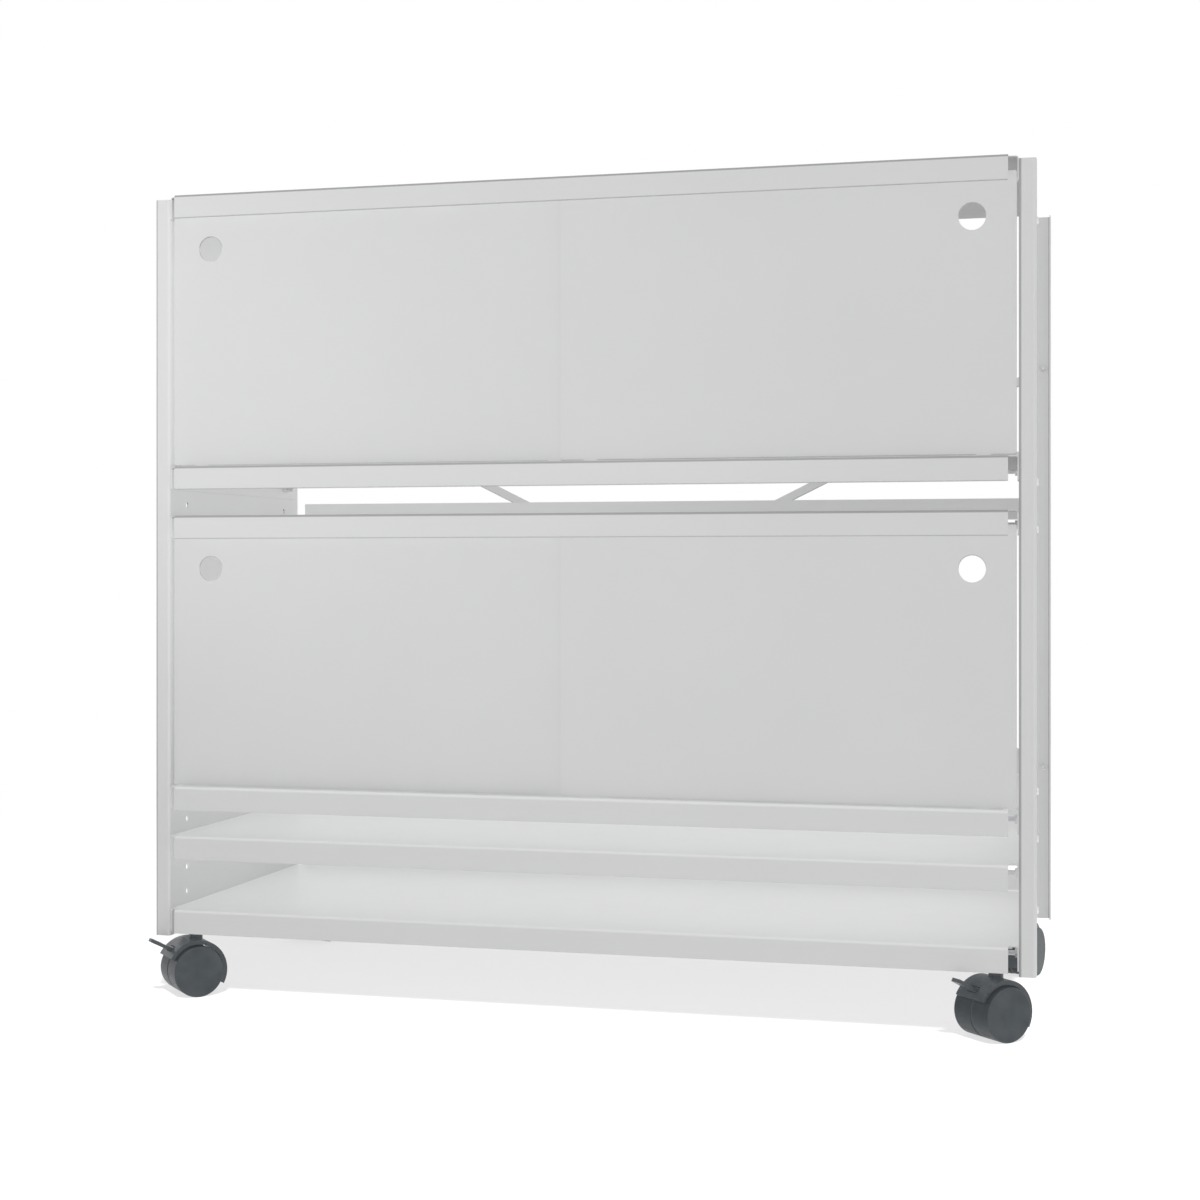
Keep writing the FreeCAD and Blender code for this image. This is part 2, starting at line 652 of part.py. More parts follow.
def casterHood(label, stemX, stemY, turn, braked):
    # Arched hood over both wheels, a middle web that carries the axle, and a neck for the stem.
    # A braked hood has a window for the pedal and a hole across it for the pedal's pin.
    # Drawn with the pedal's direction along +X and the axle along Y, then turned to where it stands.
    body = newBody(label)
    axleX = size("casterLead")
    drum = sketchOn(body, "XZ_Plane")
    circle(drum, axleX, wheelRadius, hoodOutside)
    pad(body, drum, size("hoodWidth"))
    away = sketchOn(body, "XZ_Plane")
    beyond = f"(3 * {hoodOutside})"
    rays = [(f"{axleX} + {beyond} * cos(sizes.{name})", f"{wheelRadius} + {beyond} * sin(sizes.{name})")
            for name in ("hoodFrontAngle", "hoodRearAngle")]
    front, rear = rays
    outline(away, [(axleX, wheelRadius), rear, (rear[0], f"-{beyond}"), (front[0], f"-{beyond}"), front])
    pocket(body, away)
    neck = sketchOn(body, "XY_Plane", wheelRadius)
    circle(neck, "0", "0", "sizes.neckDiameter / 2")
    pad(body, neck, f"{neckTop} - {wheelRadius}", "One side")
    if braked:
        window = sketchOn(body, "XZ_Plane")
        circle(window, pivotX, pivotZ, "sizes.pedalWindowDiameter / 2")
        pocket(body, window, pedalSpace)
        pinHole = sketchOn(body, "XZ_Plane")
        circle(pinHole, pivotX, pivotZ, "sizes.pedalPinDiameter / 2")
        pocket(body, pinHole)
    cavity = sketchOn(body, "XZ_Plane")
    circle(cavity, axleX, wheelRadius, hoodInside)
    pocket(body, cavity)
    rib = sketchOn(body, "XZ_Plane")
    rectangle(rib, f"{axleX} - sizes.webRibWidth / 2", f"{axleX} + sizes.webRibWidth / 2",
              wheelRadius, f"{wheelRadius} + {hoodMiddle}")
    pad(body, rib, size("webThickness"))
    web = sketchOn(body, "XZ_Plane")
    circle(web, axleX, wheelRadius, f"{wheelRadius} - sizes.webSetback")
    pad(body, web, size("webThickness"))
    axleHole = sketchOn(body, "XZ_Plane")
    circle(axleHole, axleX, wheelRadius, "sizes.axleDiameter / 2")
    pocket(body, axleHole)
    stemHole = sketchOn(body, "XY_Plane", neckTop)
    circle(stemHole, "0", "0", "sizes.stemDiameter / 2")
    pocket(body, stemHole, f"{neckTop} - {stemSeat}", "One side")
    place(body, stemX, stemY, "0", turn)
    return keep(body, label)


stemSeat = f"({wheelRadius} + {hoodInside} + sizes.stemSeatRoof)"


def casterStem(label, stemX, stemY):
    # Round steel stem, seated in the hood's neck and turning in the socket.
    stem = doc.addObject("Part::Cylinder", label)
    stem.setExpression("Radius", "sizes.stemDiameter / 2")
    stem.setExpression("Height", f"{shelfTop(baseRow)} - {wall} - sizes.stemTopGap - {stemSeat}")
    place(stem, stemX, stemY, stemSeat)
    return keep(stem, label)


def ahead(stemX, stemY, turn, reach):
    # The point at a reach from the stem in the direction that the caster faces.
    return (f"{stemX} + {reach} * cos({turn})", f"{stemY} + {reach} * sin({turn})")


wheelOuter = "(sizes.casterWidth / 2)"
boreEnd = f"({wheelOuter} - sizes.wheelCapThickness)"


def casterAxle(label, stemX, stemY, turn):
    # Steel axle through the web, with a wheel on each end.
    body = newBody(label)
    sketch = sketchOn(body, "XZ_Plane")
    circle(sketch, "0", "0", "sizes.axleDiameter / 2")
    pad(body, sketch, f"2 * ({boreEnd} - sizes.axleEndGap)")
    place(body, *ahead(stemX, stemY, turn, size("casterLead")), wheelRadius, turn)
    return keep(body, label)


def casterWheel(label, stemX, stemY, turn, flip):
    # Wheel with a plain outer face and a blind bore from the inside, turned about its own Y axis.
    body = newBody(label)
    sketch = sketchOn(body, "XY_Plane")
    bore = "(sizes.axleDiameter / 2 + sizes.runningClearance)"
    outline(sketch, [
        ("0", boreEnd),
        (bore, boreEnd),
        (bore, "sizes.wheelGap / 2"),
        (wheelRadius, "sizes.wheelGap / 2", size("wheelInnerEdgeRadius")),
        (wheelRadius, wheelOuter, size("wheelEdgeRadius")),
        ("0", wheelOuter),
    ])
    turned = body.newObject("PartDesign::Revolution", f"{label}_turned")
    turned.Profile = sketch
    turned.ReferenceAxis = (sketch, ["V_Axis"])
    turned.Angle = 360.0
    place(body, *ahead(stemX, stemY, turn, size("casterLead")), wheelRadius, f"{turn} + {flip}")
    return keep(body, label)


def brakePedal(label, stemX, stemY, turn):
    # Flat tongue on a round barrel that turns on the brake pin, drawn level and tipped up about the pin.
    body = newBody(label)
    barrel = sketchOn(body, "XZ_Plane")
    circle(barrel, "0", "0", "sizes.pedalBarrelDiameter / 2")
    pad(body, barrel, size("pedalWidth"))
    tongue = sketchOn(body, "XY_Plane")
    half = "(sizes.pedalWidth / 2)"
    outline(tongue, [("0", f"-{half}"), (size("pedalLength"), f"-{half}", size("pedalThickness")),
                     (size("pedalLength"), half, size("pedalThickness")), ("0", half)])
    pad(body, tongue, size("pedalThickness"))
    bore = sketchOn(body, "XZ_Plane")
    circle(bore, "0", "0", "sizes.pedalPinDiameter / 2 + sizes.runningClearance")
    pocket(body, bore)
    x, y = ahead(stemX, stemY, turn, pivotX)
    spot = FreeCAD.Vector(number(x), number(y), number(pivotZ))
    tip = FreeCAD.Rotation(FreeCAD.Vector(0, 1, 0), -number(size("pedalTilt")))
    facing = FreeCAD.Rotation(FreeCAD.Vector(0, 0, 1), number(turn))
    body.Placement = FreeCAD.Placement(spot, facing.multiply(tip))
    return keep(body, label)


def brakePin(label, stemX, stemY, turn):
    # Pin across the hood, pressed into it on both sides of the window.
    body = newBody(label)
    sketch = sketchOn(body, "XZ_Plane")
    circle(sketch, "0", "0", "sizes.pedalPinDiameter / 2")
    pad(body, sketch, "sizes.hoodWidth - 2 * sizes.pedalPinInset")
    place(body, *ahead(stemX, stemY, turn, pivotX), pivotZ, turn)
    return keep(body, label)


frontStems = f"({shelfFront} + sizes.frontCasterInset)"
rearStems = f"({shelfRear} - sizes.rearCasterInset)"


def caster(name, side, stemY, turn, braked):
    stemX = f"({side} * ({halfWidth} - sizes.casterSideInset))"
    casterSocket(f"{name}_caster_socket", stemX, stemY)
    casterHood(f"{name}_caster_hood", stemX, stemY, turn, braked)
    casterStem(f"{name}_caster_stem", stemX, stemY)
    casterAxle(f"{name}_caster_axle", stemX, stemY, turn)
    casterWheel(f"{name}_caster_wheel_near", stemX, stemY, turn, 0)
    casterWheel(f"{name}_caster_wheel_far", stemX, stemY, turn, 180)
    if braked:
        brakePedal(f"{name}_brake_pedal", stemX, stemY, turn)
        brakePin(f"{name}_brake_pin", stemX, stemY, turn)


sidePanel("left_side_panel", -1)
sidePanel("right_side_panel", 1)
for label, rows in shelfRows.items():
    shelf(label, rows)
shelfFixings("left", -1)
shelfFixings("right", 1)
brace("rising_brace", 1, 0)
brace("falling_brace", -1, 1)
braceFixings()
for bay, (roof, floor) in bays.items():
    doorGuide(f"{bay}_door_guide", shelfRows[roof])
    doorTrack(f"{bay}_door_track", shelfRows[floor])
    for hand, side, middle in (("left", -1, rearDoorMiddle), ("right", 1, frontDoorMiddle)):
        door(f"{bay}_{hand}_door", side, middle, shelfRows[roof], shelfRows[floor])
        doorGlides(f"{bay}_{hand}_door_glides", side, middle, shelfRows[roof], shelfRows[floor])
for hand, side in (("left", -1), ("right", 1)):
    caster(f"front_{hand}", side, frontStems, size("frontCasterTurn"), True)
    caster(f"rear_{hand}", side, rearStems, size("rearCasterTurn"), False)

doc.recompute()
for item in doc.Objects:
    if "Invalid" in item.State or "Error" in item.State:
        raise RuntimeError(f"{item.Label} failed: {item.State}")
for piece in nodes:
    if piece.Shape.isNull() or not piece.Shape.isValid():
        raise RuntimeError(f"{piece.Label} has no valid shape")

os.makedirs("parts", exist_ok=True)
for piece in nodes:
    piece.Shape.exportStep(os.path.join("parts", f"{piece.Label}.step"))
    box = piece.Shape.BoundBox
    spans = ((box.XMin, box.XMax), (box.YMin, box.YMax), (box.ZMin, box.ZMax))
    reach = ", ".join(f"{low:.1f} to {high:.1f}" for low, high in spans)
    print(f"{piece.Label}: {len(piece.Shape.Solids)} solids, {piece.Shape.Volume / 1000:.2f} cm3, {reach}")
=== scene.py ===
import json
import math
import bmesh
import bpy
import numpy as np
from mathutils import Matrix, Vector


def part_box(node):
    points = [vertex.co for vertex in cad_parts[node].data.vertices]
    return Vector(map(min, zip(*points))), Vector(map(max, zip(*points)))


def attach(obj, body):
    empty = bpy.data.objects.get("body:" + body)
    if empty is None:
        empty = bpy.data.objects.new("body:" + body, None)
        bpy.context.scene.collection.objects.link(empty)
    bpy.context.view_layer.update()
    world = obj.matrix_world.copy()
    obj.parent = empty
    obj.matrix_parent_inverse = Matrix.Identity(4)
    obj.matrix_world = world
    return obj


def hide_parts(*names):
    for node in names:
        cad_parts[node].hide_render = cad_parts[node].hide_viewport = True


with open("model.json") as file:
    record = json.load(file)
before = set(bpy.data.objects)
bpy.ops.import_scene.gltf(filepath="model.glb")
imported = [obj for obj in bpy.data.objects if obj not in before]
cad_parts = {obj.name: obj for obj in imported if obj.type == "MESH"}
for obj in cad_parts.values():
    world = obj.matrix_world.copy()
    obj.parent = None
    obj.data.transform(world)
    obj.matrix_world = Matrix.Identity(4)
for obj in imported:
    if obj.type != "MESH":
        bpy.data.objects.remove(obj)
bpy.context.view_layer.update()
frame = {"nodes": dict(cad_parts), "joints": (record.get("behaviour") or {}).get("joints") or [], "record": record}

nodes = frame["nodes"]
print("frame loaded:", len(nodes), "nodes")

cameraSettings = {
    "eye": (0.63483, -2.50871, 0.52119),  # metres, in the cabinet's frame
    "yaw": 14.582,                        # degrees to the left of straight on
    "level": 90.0,                        # degrees; a level camera keeps the uprights upright
    "lens": 61.88,
    "sensor": 36.0,
    "shiftY": -0.02637,
}


def makeCamera(settings):
    data = bpy.data.cameras.new("camera")
    data.lens = settings["lens"]
    data.sensor_width = settings["sensor"]
    data.shift_y = settings["shiftY"]
    camera = bpy.data.objects.new("camera", data)
    bpy.context.scene.collection.objects.link(camera)
    camera.location = settings["eye"]
    camera.rotation_euler = (math.radians(settings["level"]), 0, math.radians(settings["yaw"]))
    bpy.context.scene.camera = camera


makeCamera(cameraSettings)
print("camera placed")


def maths(tree, operation, first, second=0.0):
    # each side is a socket or a number
    node = tree.nodes.new("ShaderNodeMath")
    node.operation = operation
    for index, side in enumerate((first, second)):
        if isinstance(side, (int, float)):
            node.inputs[index].default_value = side
        else:
            tree.links.new(side, node.inputs[index])
    return node.outputs[0]


def mapped(tree, value, fromRange, toRange):
    # straight line from one range to the other, held at its ends
    node = tree.nodes.new("ShaderNodeMapRange")
    for socket, amount in zip(("From Min", "From Max", "To Min", "To Max"), (*fromRange, *toRange)):
        node.inputs[socket].default_value = amount
    tree.links.new(value, node.inputs["Value"])
    return node.outputs["Result"]


def parted(tree, vector):
    node = tree.nodes.new("ShaderNodeSeparateXYZ")
    tree.links.new(vector, node.inputs["Vector"])
    return [node.outputs[axis] for axis in "XYZ"]


def scaled(tree, colour, factor):
    node = tree.nodes.new("ShaderNodeVectorMath")
    node.operation = "SCALE"
    tree.links.new(colour, node.inputs[0])
    tree.links.new(factor, node.inputs["Scale"])
    return node.outputs["Vector"]


white = (1, 1, 1, 1)
stageSettings = {
    "floorSize": 40.0,
    "floorSeen": (0.92, 0.92, 0.93, 1),
    "floorBounce": (0.40, 0.40, 0.40, 1),
    "floorGlow": (0.70, 1.0),  # share of plain white in the floor, beside the cabinet and far from it
    "floorFade": (1.0, 2.2),   # metres from the origin between the two
    "floorLight": ((0.35, -0.80, 1.0), 6.0, 7.0),  # side that it comes from, strength, degrees of softness
    "ambient": 0.31,
    "key": {"place": (1.9, -2.2, 3.2), "aim": (0.0, 0.0, 0.3), "width": 1.2, "watts": 7.0},
    "spots": [                 # name, place, aim, degrees across, watts, the nodes that it lights or all
        ("frontSpot", (-1.27, -1.21, 0.66), (0.0, -0.2, 1.22), 88.8, 20.4, ()),
        ("sideSpot", (1.5, -0.4, 1.2), (-0.51, 0.0, 0.85), 36.0, 44.0,
         ("left_side_panel", "upper_bay_floor", "lower_bay_roof")),
    ],
    "spotBlend": 1.0,          # the spots fade all the way from the middle to the edge
    "fills": [                 # name, the side that the even light comes from, strength
        ("fillFront", (0.1, -1.0, 0.05), 0.84),
        ("fillRight", (1.0, -0.15, 0.0), 0.60),
        ("fillLeft", (-1.0, -0.1, 0.0), 0.20),
        ("fillTop", (0.0, 0.0, 1.0), 1.36),
        ("fillBelow", (0.0, 0.0, -1.0), 0.95),
        ("fillBack", (0.0, 1.0, 0.0), 0.60),
    ],
}


def seenWhite(tree):
    # 1 for a ray from the camera, a mirror or a window, 0 for a ray that only carries light
    path = tree.nodes.new("ShaderNodeLightPath")
    seen = maths(tree, "MAXIMUM", path.outputs["Is Camera Ray"], path.outputs["Is Glossy Ray"])
    return maths(tree, "MAXIMUM", seen, path.outputs["Is Transmission Ray"])


def makeSky(settings):
    world = bpy.data.worlds.new("studio")
    bpy.context.scene.world = world
    world.use_nodes = True
    tree = world.node_tree
    tree.nodes.clear()
    out = tree.nodes.new("ShaderNodeOutputWorld")
    mix = tree.nodes.new("ShaderNodeMixShader")
    light = tree.nodes.new("ShaderNodeBackground")
    light.inputs["Color"].default_value = white
    light.inputs["Strength"].default_value = settings["ambient"]
    backdrop = tree.nodes.new("ShaderNodeBackground")
    backdrop.inputs["Color"].default_value = white
    tree.links.new(seenWhite(tree), mix.inputs[0])
    tree.links.new(light.outputs[0], mix.inputs[1])
    tree.links.new(backdrop.outputs[0], mix.inputs[2])
    tree.links.new(mix.outputs[0], out.inputs["Surface"])


def makeFloor(settings):
    # pale floor that keeps the shadow beside the cabinet and fades to plain white away from it
    half = settings["floorSize"] / 2
    mesh = bpy.data.meshes.new("floor")
    corners = [(-half, -half, 0), (half, -half, 0), (half, half, 0), (-half, half, 0)]
    mesh.from_pydata(corners, [], [(0, 1, 2, 3)])
    floor = bpy.data.objects.new("floor", mesh)
    bpy.context.scene.collection.objects.link(floor)
    material = bpy.data.materials.new("paleFloor")
    material.use_nodes = True
    tree = material.node_tree
    tree.nodes.clear()
    out = tree.nodes.new("ShaderNodeOutputMaterial")
    diffuse = tree.nodes.new("ShaderNodeBsdfDiffuse")
    tint = tree.nodes.new("ShaderNodeMix")
    tint.data_type = "RGBA"
    tint.inputs["A"].default_value = settings["floorBounce"]
    tint.inputs["B"].default_value = settings["floorSeen"]
    tree.links.new(seenWhite(tree), tint.inputs["Factor"])
    tree.links.new(tint.outputs["Result"], diffuse.inputs["Color"])
    glow = tree.nodes.new("ShaderNodeEmission")
    glow.inputs["Color"].default_value = white
    coordinate = tree.nodes.new("ShaderNodeTexCoord")
    distance = tree.nodes.new("ShaderNodeVectorMath")
    distance.operation = "LENGTH"
    tree.links.new(coordinate.outputs["Object"], distance.inputs[0])
    fade = mapped(tree, distance.outputs["Value"], settings["floorFade"], settings["floorGlow"])
    mix = tree.nodes.new("ShaderNodeMixShader")
    tree.links.new(maths(tree, "MULTIPLY", seenWhite(tree), fade), mix.inputs[0])
    tree.links.new(diffuse.outputs[0], mix.inputs[1])
    tree.links.new(glow.outputs[0], mix.inputs[2])
    tree.links.new(mix.outputs[0], out.inputs["Surface"])
    mesh.materials.append(material)
    return floor


def makeLamp(name, kind, power):
    data = bpy.data.lights.new(name, kind)
    data.energy = power
    data.use_shadow = False
    lamp = bpy.data.objects.new(name, data)
    bpy.context.scene.collection.objects.link(lamp)
    lamp.visible_camera = False
    lamp.visible_glossy = False
    return lamp


def makeSun(name, side, strength):
    lamp = makeLamp(name, "SUN", strength)
    lamp.rotation_euler = Vector(side).to_track_quat("Z", "Y").to_euler()
    return lamp


def aimLamp(lamp, place, aim):
    lamp.location = place
    lamp.rotation_euler = (Vector(aim) - Vector(place)).to_track_quat("-Z", "Y").to_euler()


def makeLamps(settings, floor):
    # even light without shadows on the cabinet, so that it also reaches between the shelves,
    # and one sun for the shadow on the floor
    key = settings["key"]
    lamp = makeLamp("key", "AREA", key["watts"])
    lamp.data.size = key["width"]
    aimLamp(lamp, key["place"], key["aim"])
    for name, place, aim, cone, watts, targets in settings["spots"]:
        lamp = makeLamp(name, "SPOT", watts)
        lamp.data.spot_size = math.radians(cone)
        lamp.data.spot_blend = settings["spotBlend"]
        aimLamp(lamp, place, aim)
        if targets:
            onlyTargets = bpy.data.collections.new(name + "Targets")
            for target in targets:
                onlyTargets.objects.link(nodes[target])
            lamp.light_linking.receiver_collection = onlyTargets
    onlyFloor = bpy.data.collections.new("onlyFloor")
    onlyFloor.objects.link(floor)
    notFloor = bpy.data.collections.new("notFloor")
    notFloor.objects.link(floor)
    notFloor.collection_objects[0].light_linking.link_state = "EXCLUDE"
    for name, side, strength in settings["fills"]:
        lamp = makeSun(name, side, strength)
        lamp.light_linking.receiver_collection = notFloor
    side, strength, softness = settings["floorLight"]
    lamp = makeSun("floorLight", side, strength)
    lamp.data.use_shadow = True
    lamp.data.angle = math.radians(softness)
    lamp.light_linking.receiver_collection = onlyFloor


bpy.context.scene.view_settings.view_transform = "Standard"
makeSky(stageSettings)
makeLamps(stageSettings, makeFloor(stageSettings))
print("floor, sky and lamps placed")

noiseRange = (0.3, 0.7)  # most of a cloudy pattern lies between these


def noise(tree, scale, detail):
    # cloudy pattern on Object coordinates, scale in cells per metre
    coordinate = tree.nodes.new("ShaderNodeTexCoord")
    texture = tree.nodes.new("ShaderNodeTexNoise")
    texture.inputs["Scale"].default_value = scale
    texture.inputs["Detail"].default_value = detail
    tree.links.new(coordinate.outputs["Object"], texture.inputs["Vector"])
    return texture.outputs["Fac"]


def cloudColour(tree, value, dark, light):
    node = tree.nodes.new("ShaderNodeValToRGB")
    for element, place, colour in zip(node.color_ramp.elements, noiseRange, (dark, light)):
        element.position = place
        element.color = (*colour, 1)
    tree.links.new(value, node.inputs["Fac"])
    return node.outputs["Color"]


def paintedBendShade(tree, normal, sizes, height, look):
    # painted shade on bends, as if turned from the light: how far the face turns between two axes, times the shade
    # of a level bend at this height (a faint painted highlight low down) or of an upright bend that faces -X
    largest = maths(tree, "MAXIMUM", maths(tree, "MAXIMUM", sizes[0], sizes[1]), sizes[2])
    turned = mapped(tree, largest, look["turned"], (1.0, 0.0))
    level = maths(tree, "GREATER_THAN", sizes[2], look["levelFrom"])
    upright = maths(tree, "SUBTRACT", 1.0, level)
    leftward = maths(tree, "LESS_THAN", normal[0], 0.0)
    levelPaintedShade = maths(tree, "MULTIPLY", level, mapped(tree, height, look["heights"], look["levelPaintedShades"]))
    uprightPaintedShade = maths(tree, "MULTIPLY", maths(tree, "MULTIPLY", upright, leftward), look["uprightPaintedShade"])
    return maths(tree, "MULTIPLY", turned, maths(tree, "ADD", levelPaintedShade, uprightPaintedShade))


def paintedEdgeShade(tree, sizes, height, look):
    # painted shade on lower edges: how far a rounded edge's normal points down, times the shade here; X-turned
    # faces stay plain
    rounded = tree.nodes.new("ShaderNodeBevel")
    rounded.inputs["Radius"].default_value = look["edgeRadius"]
    down = mapped(tree, parted(tree, rounded.outputs["Normal"])[2], look["downward"], (1.0, 0.0))
    facing = maths(tree, "LESS_THAN", sizes[0], look["sidewardFrom"])
    depth = mapped(tree, height, look["heights"], look["edgePaintedShades"])
    return maths(tree, "MULTIPLY", maths(tree, "MULTIPLY", down, facing), depth)


def cornerShare(tree, look):
    # share of the colour left under painted shade where other sheets stand close before the face
    closeness = tree.nodes.new("ShaderNodeAmbientOcclusion")
    closeness.samples = look["cornerSamples"]
    closeness.inputs["Distance"].default_value = look["cornerReach"]
    return mapped(tree, closeness.outputs["AO"], (0.0, 1.0), look["corner"])


def paintedCoatShade(tree, colour, look):
    # colour under painted shade: colour * (1 - shade of a bend) * (1 - shade of a lower edge) * share in a corner
    coordinate = tree.nodes.new("ShaderNodeTexCoord")
    normal = parted(tree, coordinate.outputs["Normal"])
    sizes = [maths(tree, "ABSOLUTE", axis) for axis in normal]
    height = parted(tree, coordinate.outputs["Object"])[2]
    paintedBendShare = maths(tree, "SUBTRACT", 1.0, paintedBendShade(tree, normal, sizes, height, look))
    paintedEdgeShare = maths(tree, "SUBTRACT", 1.0, paintedEdgeShade(tree, sizes, height, look))
    paintedSheetShare = maths(tree, "MULTIPLY", paintedBendShare, paintedEdgeShare)
    return scaled(tree, colour, maths(tree, "MULTIPLY", paintedSheetShare, cornerShare(tree, look)))


def paintedTreadShade(tree, colour, share):
    # the wheel's own tread attribute is 1 on the rolling surface and 0 on the faces; the tread is darkened to
    # share as painted shade
    tread = tree.nodes.new("ShaderNodeAttribute")
    tread.attribute_name = "tread"
    return scaled(tree, colour, mapped(tree, tread.outputs["Fac"], (0.0, 1.0), (1.0, share)))


def bump(tree, value, strength, distance):
    node = tree.nodes.new("ShaderNodeBump")
    node.inputs["Strength"].default_value = strength
    node.inputs["Distance"].default_value = distance
    tree.links.new(value, node.inputs["Height"])
    return node.outputs["Normal"]


# painted shade in the coat's colour on bends, lower edges and in corners, deeper on the upper shelves
paintedCoatShading = {
    "turned": (0.96, 0.997),       # largest part of the normal, at a full bend and on a flat face
    "levelFrom": 0.1,              # upward part of the normal from which a bend is level
    "sidewardFrom": 0.3,           # sideways part of the normal from which a lower edge stays plain
    "heights": (0.40, 0.56),       # metres, between the lower shelves and the upper ones
    "levelPaintedShades": (-0.04, 0.50),  # painted shade of level bends at these heights, below zero a faint painted highlight
    "uprightPaintedShade": 0.40,
    "edgeRadius": 0.0020,          # metres
    "downward": (-0.20, -0.02),    # upward part of an edge's normal, at full shade and at none
    "edgePaintedShades": (0.05, 0.55),    # painted shade of lower edges at the heights above
    "corner": (0.92, 1.0),         # share of the colour under painted shade in the tightest corner and in the open
    "cornerReach": 0.06,           # metres within which close sheets cast the painted corner shade
    "cornerSamples": 8,
}
# cloud and grain are in cells per metre, the grain's height in metres
finishes = {
    "coat": {"dark": (0.672, 0.674, 0.676), "light": (0.684, 0.686, 0.688), "cloud": 5.0,
             "grain": 1400.0, "grainStrength": 0.06, "grainHeight": 0.0002,
             "rough": (0.40, 0.44), "metallic": 0.0, "specular": 0.4,
             "paintedShading": paintedCoatShading},
    "hardware": {"dark": (0.66, 0.66, 0.67), "light": (0.78, 0.78, 0.79), "cloud": 260.0,
                 "grain": 2200.0, "grainStrength": 0.10, "grainHeight": 0.0001,
                 "rough": (0.32, 0.46), "metallic": 0.7, "specular": 0.5},
    "steel": {"dark": (0.50, 0.50, 0.51), "light": (0.64, 0.64, 0.65), "cloud": 180.0,
              "grain": 1800.0, "grainStrength": 0.08, "grainHeight": 0.0001,
              "rough": (0.28, 0.42), "metallic": 0.8, "specular": 0.5},
    "pale_plastic": {"dark": (0.60, 0.605, 0.61), "light": (0.66, 0.665, 0.67), "cloud": 14.0,
                     "grain": 900.0, "grainStrength": 0.10, "grainHeight": 0.0002,
                     "rough": (0.45, 0.58), "metallic": 0.0, "specular": 0.45},
    "caster_plastic": {"dark": (0.060, 0.068, 0.073), "light": (0.084, 0.094, 0.100), "cloud": 40.0,
                       "grain": 1100.0, "grainStrength": 0.14, "grainHeight": 0.0003,
                       "rough": (0.28, 0.40), "metallic": 0.0, "specular": 0.35},
    # on the wheel, tread is the share of the colour left on the tread under painted shade
    "wheel": {"dark": (0.068, 0.077, 0.083), "light": (0.092, 0.103, 0.110), "cloud": 46.0,
              "grain": 1300.0, "grainStrength": 0.12, "grainHeight": 0.0003,
              "rough": (0.30, 0.42), "metallic": 0.0, "specular": 0.12, "tread": 0.70},
}
finishDetail = {"cloud": 3.0, "gloss": 2.0, "grain": 1.0}
glossCells = 6.0  # cells of the gloss pattern for one of the cloud pattern


def makeFinish(name, look):
    # cloudy colour and gloss over a fine grain, all on Object coordinates, with painted shade on the coat and the
    # tread
    material = bpy.data.materials.new(name)
    material.use_nodes = True
    tree = material.node_tree
    shader = tree.nodes["Principled BSDF"]
    shader.inputs["Metallic"].default_value = look["metallic"]
    shader.inputs["Specular IOR Level"].default_value = look["specular"]
    cloud = noise(tree, look["cloud"], finishDetail["cloud"])
    colour = cloudColour(tree, cloud, look["dark"], look["light"])
    # the coat and the wheel's tread get painted shade in their colour
    if "paintedShading" in look:
        colour = paintedCoatShade(tree, colour, look["paintedShading"])
    if "tread" in look:
        colour = paintedTreadShade(tree, colour, look["tread"])
    tree.links.new(colour, shader.inputs["Base Color"])
    gloss = noise(tree, look["cloud"] * glossCells, finishDetail["gloss"])
    tree.links.new(mapped(tree, gloss, noiseRange, look["rough"]), shader.inputs["Roughness"])
    grain = noise(tree, look["grain"], finishDetail["grain"])
    tree.links.new(bump(tree, grain, look["grainStrength"], look["grainHeight"]), shader.inputs["Normal"])
    return material


slotOf = {entry["node"]: entry["material_slot"] for entry in frame["record"]["subparts"]}
materials = {name: makeFinish(name, look) for name, look in finishes.items()}
for name, piece in nodes.items():
    piece.data.materials.clear()
    piece.data.materials.append(materials[slotOf[name]])
print("finishes on", len(nodes), "nodes")

mergeDistance = 1e-7  # metres
sharpAngle = 38.0     # degrees


def gridFaces(rows, columns):
    # quads between neighbouring rows, with the last column joined to the first
    row, column = np.meshgrid(np.arange(rows - 1), np.arange(columns), indexing="ij")
    after = (column + 1) % columns
    above, below = row * columns, (row + 1) * columns
    return np.stack([above + column, above + after, below + after, below + column], axis=-1).reshape(-1, 4)


def putSurfaces(name, grids, body, slot, stands=()):
    # joins closed grids of (rows, columns, 3) points into one piece; a row that shrinks to a point is a pole
    points, faces, start = [], [], 0
    for grid in grids:
        points.append(grid.reshape(-1, 3))
        faces.append(gridFaces(*grid.shape[:2]) + start)
        start += grid.shape[0] * grid.shape[1]
    mesh = bpy.data.meshes.new(name)
    mesh.from_pydata(np.concatenate(points).tolist(), [], np.concatenate(faces).tolist())
    work = bmesh.new()
    work.from_mesh(mesh)
    bmesh.ops.remove_doubles(work, verts=work.verts, dist=mergeDistance)
    bmesh.ops.recalc_face_normals(work, faces=work.faces)
    work.to_mesh(mesh)
    work.free()
    mesh.shade_smooth()
    mesh.set_sharp_from_angle(angle=math.radians(sharpAngle))
    mesh.materials.append(materials[slot])
    piece = bpy.data.objects.new(name, mesh)
    bpy.context.scene.collection.objects.link(piece)
    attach(piece, body)
    if stands:
        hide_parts(*stands)
    return mesh


def aroundAxis(along, radius, centre, axis):
    # a point at distance along on the level axis and at radius from it, for every angle around it
    axis = np.array(axis, float)
    side = np.cross(axis, (0.0, 0.0, 1.0))
    side /= np.linalg.norm(side)
    up = np.cross(axis, side)
    turn = np.linspace(0, 2 * np.pi, radius.shape[1], endpoint=False)
    spoke = np.cos(turn)[None, :, None] * side + np.sin(turn)[None, :, None] * up
    return np.array(centre) + along[..., None] * axis + radius[..., None] * spoke


